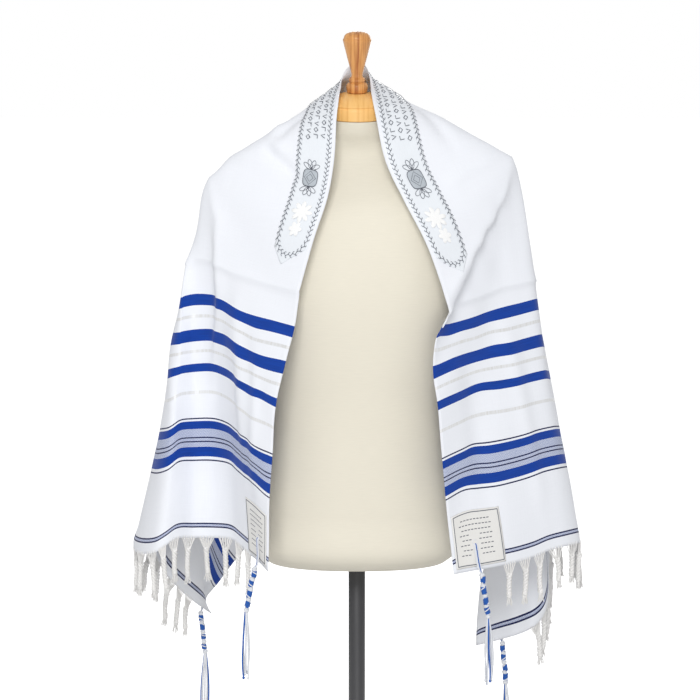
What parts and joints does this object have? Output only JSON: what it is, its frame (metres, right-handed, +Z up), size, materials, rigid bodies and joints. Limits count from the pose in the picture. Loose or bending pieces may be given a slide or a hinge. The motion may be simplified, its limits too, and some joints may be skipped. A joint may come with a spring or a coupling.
{
  "type": "tallit prayer shawl on dress form",
  "caption": "Striped fringed prayer shawl with satin neckband, corner squares and corner tassels, draped over a limbless dress form on a round-base pole stand.",
  "frame": {"origin": "centre of the stand base's underside, on the floor", "axes": "+Z up, front of the form towards -Y, +X the viewer's right seen from the front"},
  "size_m": [0.7679, 0.4629, 1.6663],
  "materials": {
    "shawl": "matt acrylic weave with blue and silver stripes",
    "neckband": "satin",
    "patch_front_right": "satin",
    "patch_front_left": "satin",
    "patch_back_right": "satin",
    "patch_back_left": "satin",
    "fringe_right": "twisted yarn",
    "fringe_left": "twisted yarn",
    "tzitzit_front_right": "white and blue cord",
    "tzitzit_front_left": "white and blue cord",
    "tzitzit_back_right": "white and blue cord",
    "tzitzit_back_left": "white and blue cord",
    "torso": "natural cotton cover over a padded body",
    "neck_cap": "varnished, turned",
    "knob": "varnished, turned",
    "pole": "satin black",
    "base": "satin black"
  },
  "bodies": {
    "root": {"shawl": "shawl", "neckband": "neckband", "patch_front_right": "patch_front_right", "patch_front_left": "patch_front_left", "patch_back_right": "patch_back_right", "patch_back_left": "patch_back_left", "fringe_right": "fringe_right", "fringe_left": "fringe_left", "tzitzit_front_right": "tzitzit_front_right", "tzitzit_front_left": "tzitzit_front_left", "tzitzit_back_right": "tzitzit_back_right", "tzitzit_back_left": "tzitzit_back_left", "torso": "torso", "neck_cap": "neck_cap", "knob": "knob", "pole": "pole", "base": "base"}
  },
  "joints": []
}
